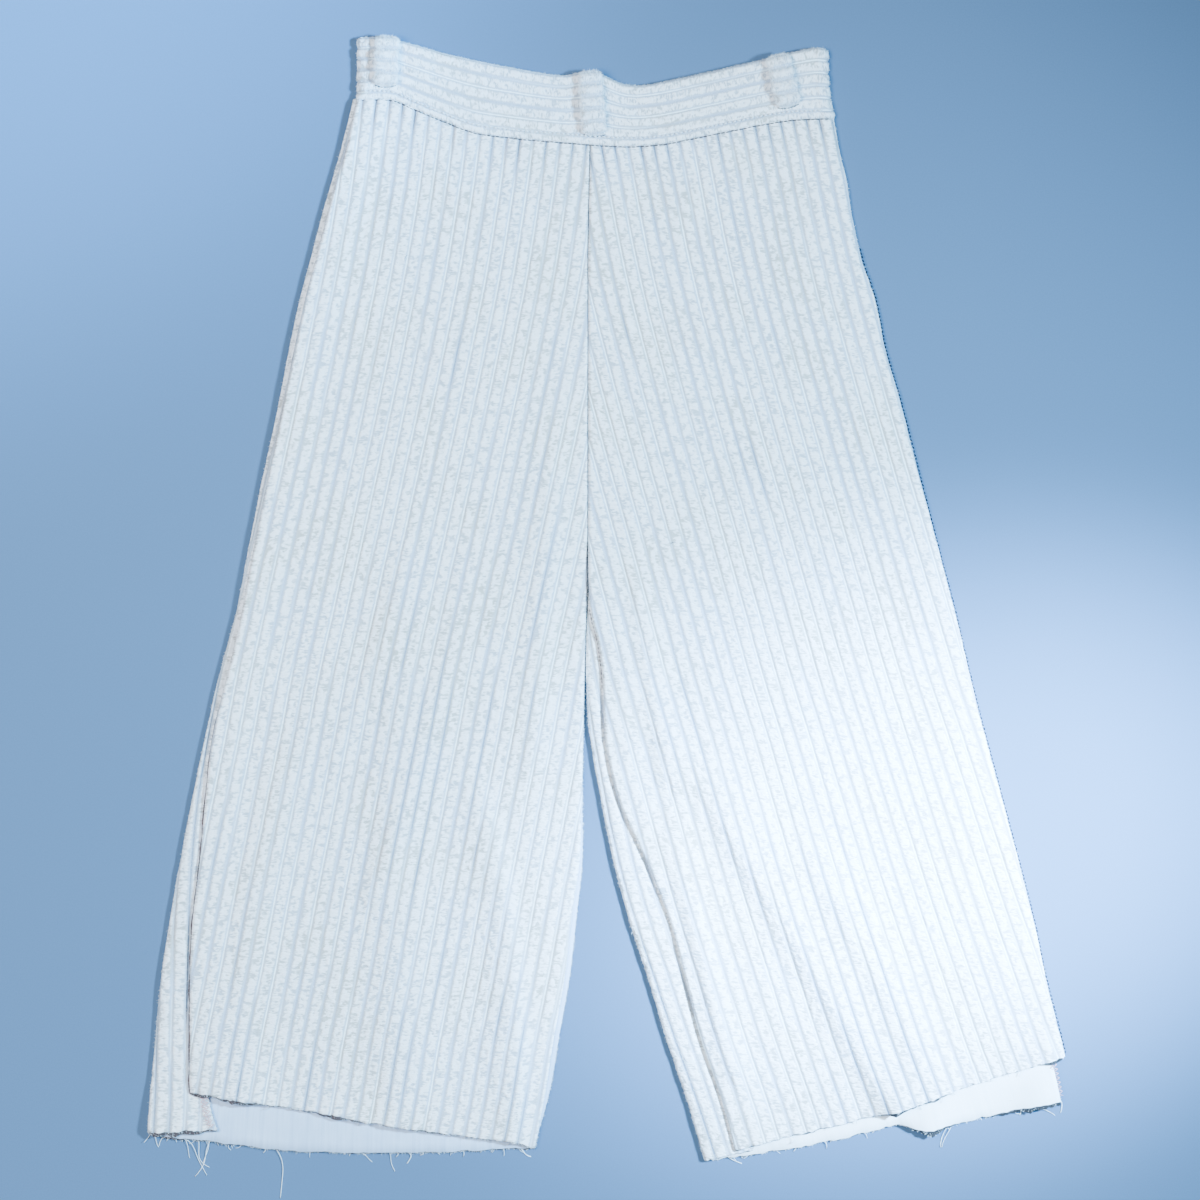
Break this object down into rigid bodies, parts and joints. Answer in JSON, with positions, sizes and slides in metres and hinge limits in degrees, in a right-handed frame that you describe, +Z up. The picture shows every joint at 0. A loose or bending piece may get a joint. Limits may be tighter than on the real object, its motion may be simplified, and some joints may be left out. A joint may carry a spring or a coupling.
{
  "type": "culottes laid flat",
  "caption": "Wide-legged knee-length culottes in jumbo corduroy, laid flat front up, with a shaped waistband, belt loops and raw frayed hems.",
  "frame": {"origin": "middle of the footprint, on the surface the garment lies on", "axes": "+X to the right of someone who looks down at the front with the waist away from them, +Y from hem to waist, +Z up out of the front"},
  "size_m": [0.6866, 0.8434, 0.0172],
  "materials": {
    "corduroy": "off-white jumbo corduroy, matt pile with a soft sheen"
  },
  "bodies": {
    "root": {"back_left": "corduroy", "back_right": "corduroy", "front_left": "corduroy", "front_right": "corduroy", "waistband": "corduroy", "belt_loop_left": "corduroy", "belt_loop_centre": "corduroy", "belt_loop_right": "corduroy"}
  },
  "joints": []
}
